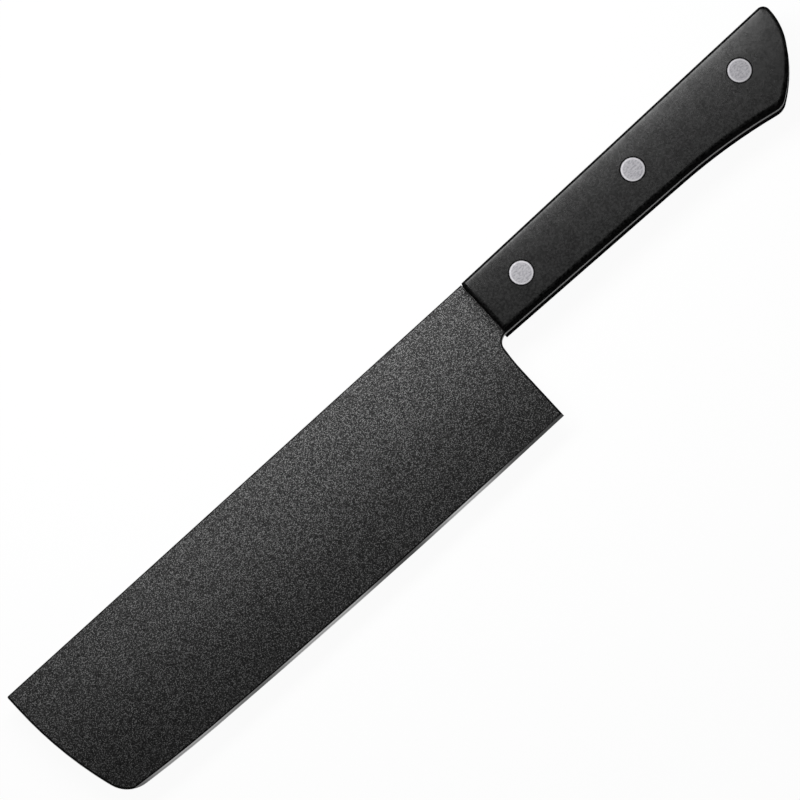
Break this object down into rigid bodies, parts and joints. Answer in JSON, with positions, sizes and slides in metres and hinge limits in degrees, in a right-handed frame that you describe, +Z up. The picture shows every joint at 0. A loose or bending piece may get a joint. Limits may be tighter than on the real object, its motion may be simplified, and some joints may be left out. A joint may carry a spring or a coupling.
{
  "type": "nakiri knife",
  "caption": "Square-ended vegetable knife with a tall straight-edged coated blade, a full tang and riveted handle scales",
  "frame": {"origin": "middle of the knife's length and width, on the plane it lies on", "axes": "+X along the knife towards the tip of the blade, +Y towards the cutting edge, +Z up, out of the left face"},
  "size_m": [0.291, 0.0484, 0.0145],
  "materials": {
    "coated_steel": "stainless steel under a speckled matt black non-stick coating, bare along the cutting bevel",
    "scale_plastic": "matt black moulded plastic, finely mottled",
    "rivet_metal": "rivet heads ground flush with the scales and brushed"
  },
  "bodies": {
    "root": {"blade": "coated_steel", "left_scale": "scale_plastic", "right_scale": "scale_plastic", "front_rivet_male": "rivet_metal", "front_rivet_female": "rivet_metal", "middle_rivet_male": "rivet_metal", "middle_rivet_female": "rivet_metal", "rear_rivet_male": "rivet_metal", "rear_rivet_female": "rivet_metal"}
  },
  "joints": []
}
